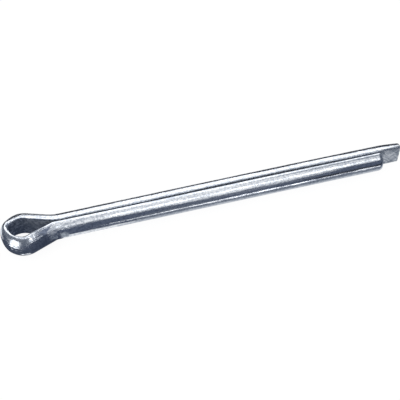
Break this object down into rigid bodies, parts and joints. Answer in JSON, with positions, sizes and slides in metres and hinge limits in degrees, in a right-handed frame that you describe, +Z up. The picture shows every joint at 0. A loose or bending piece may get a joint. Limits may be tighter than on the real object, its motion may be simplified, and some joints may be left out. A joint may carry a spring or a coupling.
{
  "type": "cotter pin",
  "caption": "Straight split cotter pin of folded half-round wire: a pear-shaped eye, a round shank made of two legs, and one leg longer than the other.",
  "frame": {"origin": "on the axis of the shank, where it becomes a full round next to the eye", "axes": "+X along the shank from the eye to the tips of the legs, +Z up along the hole of the eye, with the pin lying flat on its side; the short leg is on the -Y side"},
  "size_m": [0.0756, 0.0084, 0.0046],
  "materials": {
    "zinc_steel": "drawn low-carbon steel wire, bright zinc plated, with fine streaks along the legs and an orange-peel grain round the outside of the eye"
  },
  "bodies": {
    "root": {"split_pin": "zinc_steel"}
  },
  "joints": []
}
